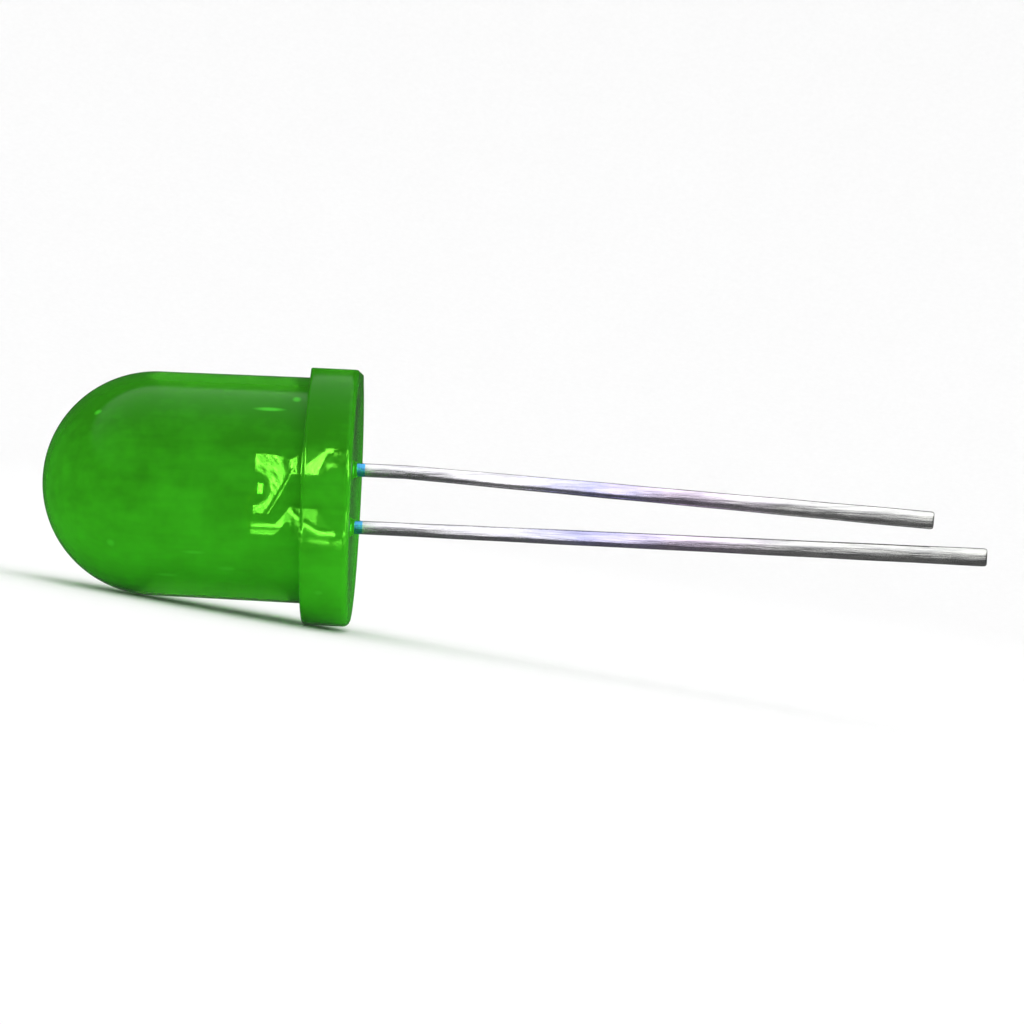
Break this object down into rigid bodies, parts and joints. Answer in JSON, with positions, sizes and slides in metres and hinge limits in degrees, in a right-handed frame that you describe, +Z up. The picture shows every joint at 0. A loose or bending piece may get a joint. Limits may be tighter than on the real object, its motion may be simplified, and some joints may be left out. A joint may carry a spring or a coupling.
{
  "type": "through hole led",
  "caption": "Round through hole LED: green tinted epoxy lens with a domed end, a flange with a cathode flat, and two square leads, the cathode lead shorter, lying on its side",
  "frame": {"origin": "on the surface that the LED lies on, under the middle of its bounding box", "axes": "+Z up from that surface, towards the cathode side, where the flange's flat and the short lead are; +X along the LED from the dome to the leads, as near as the lying LED allows (its axis rises 7.36 degrees towards the leads, because it rests on the dome and on the rim of the flange); Y across the plane that holds both leads"},
  "size_m": [0.0418, 0.0118, 0.0114],
  "materials": {
    "lens_epoxy": "cast green tinted epoxy, diffused, gloss as it leaves the mould",
    "lead_steel": "stamped steel strip, silvery tin plating, ends dipped in solder",
    "silver_glue": "silver filled epoxy glue, cured",
    "chip": "sawn crystal with a metal pad on top",
    "gold_wire": "drawn gold wire, bright"
  },
  "bodies": {
    "root": {"lens": "lens_epoxy", "cathode_frame": "lead_steel", "anode_frame": "lead_steel", "die_attach": "silver_glue", "led_die": "chip", "bond_wire": "gold_wire"}
  },
  "joints": []
}
